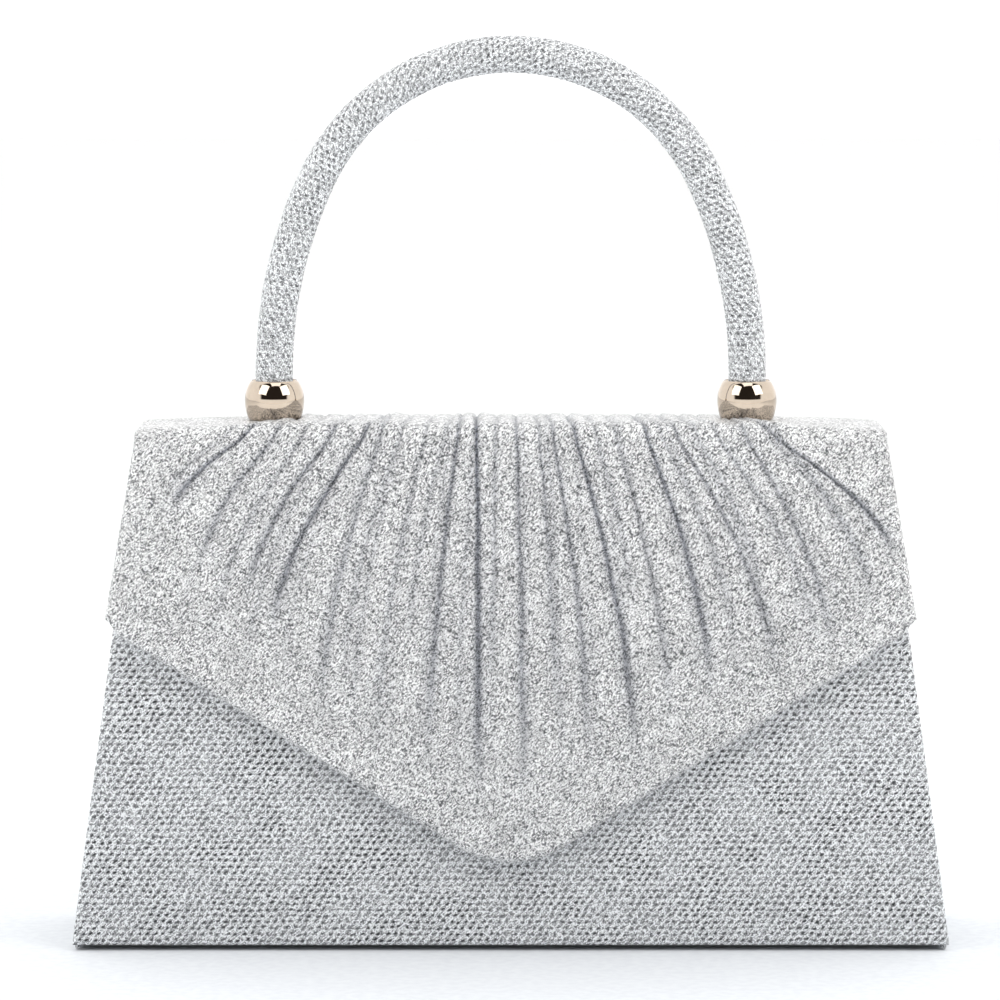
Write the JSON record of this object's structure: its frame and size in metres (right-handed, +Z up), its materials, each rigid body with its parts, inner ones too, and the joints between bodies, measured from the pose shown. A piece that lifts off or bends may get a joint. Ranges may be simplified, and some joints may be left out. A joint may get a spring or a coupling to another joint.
{
  "type": "evening bag",
  "caption": "Trapezoid evening bag with a pleated five-sided envelope flap, magnetic snap, arched round top handle on bead ferrules and a lined pocket.",
  "frame": {"origin": "middle of the base, on the surface that the bag stands on", "axes": "+X to the wearer's right of the front (along the bag), -Y out of the front, +Z up to the handle"},
  "size_m": [0.22, 0.0531, 0.2279],
  "materials": {
    "glitter_mesh": "silver glitter mesh over padded cloth, sparkling",
    "glitter_pleated": "fine silver glitter cloth gathered in pleats",
    "satin_lining": "grey satin, soft sheen",
    "stiffening_board": "matt",
    "steel_tube": "plain",
    "polished_nickel": "polished warm nickel",
    "zinc_screw": "zinc plated",
    "magnet": "dark ferrite"
  },
  "bodies": {
    "bag": {"back_cover": "glitter_mesh", "back_board": "stiffening_board", "back_lining": "satin_lining", "base_cover": "glitter_mesh", "base_board": "stiffening_board", "base_lining": "satin_lining", "gusset_left_rear": "glitter_mesh", "gusset_right_rear": "glitter_mesh", "gusset_lining_left_rear": "satin_lining", "gusset_lining_right_rear": "satin_lining", "slip_pocket": "satin_lining", "ring_tab_left": "satin_lining", "ring_tab_right": "satin_lining"},
    "front_panel": {"front_cover": "glitter_mesh", "front_board": "stiffening_board", "front_lining": "satin_lining", "gusset_left_front": "glitter_mesh", "gusset_right_front": "glitter_mesh", "gusset_lining_left_front": "satin_lining", "gusset_lining_right_front": "satin_lining", "snap_case": "polished_nickel", "snap_magnet": "magnet", "snap_plate": "zinc_screw"},
    "top_strip": {"top_cover": "glitter_pleated", "top_board": "stiffening_board", "top_lining": "satin_lining", "handle_core": "steel_tube", "handle_cover": "glitter_mesh", "ferrule_left": "polished_nickel", "ferrule_right": "polished_nickel", "handle_screw_left": "zinc_screw", "handle_screw_right": "zinc_screw", "handle_washer_left": "zinc_screw", "handle_washer_right": "zinc_screw"},
    "flap": {"flap_cover": "glitter_pleated", "flap_board": "stiffening_board", "flap_lining": "satin_lining", "snap_post": "polished_nickel", "snap_post_washer": "zinc_screw"},
    "strap_ring_left": {"strap_ring_left": "polished_nickel"},
    "strap_ring_right": {"strap_ring_right": "polished_nickel"}
  },
  "joints": [
    {"name": "top_fold", "type": "hinge", "parent": "bag", "child": "top_strip", "pos_m": [0, 0.0135, 0.1265], "axis": [-1, 0, 0], "range_deg": [0, 115]},
    {"name": "flap_fold", "type": "hinge", "parent": "top_strip", "child": "flap", "pos_m": [0, -0.0142, 0.1302], "axis": [-1, 0, 0], "range_deg": [0, 85]},
    {"name": "front_panel_tilt", "type": "hinge", "parent": "bag", "child": "front_panel", "pos_m": [0, -0.025, 0], "axis": [1, 0, 0], "range_deg": [0, 6]},
    {"name": "strap_ring_left_swing", "type": "hinge", "parent": "bag", "child": "strap_ring_left", "pos_m": [-0.074, 0.00967, 0.11136], "axis": [-1, 0, 0], "range_deg": [0, 150]},
    {"name": "strap_ring_right_swing", "type": "hinge", "parent": "bag", "child": "strap_ring_right", "pos_m": [0.074, 0.00967, 0.11136], "axis": [-1, 0, 0], "range_deg": [0, 150]}
  ],
  "couplings": [
    {"joint": "front_panel_tilt", "follows": "top_fold", "ratio": 0.05}
  ]
}
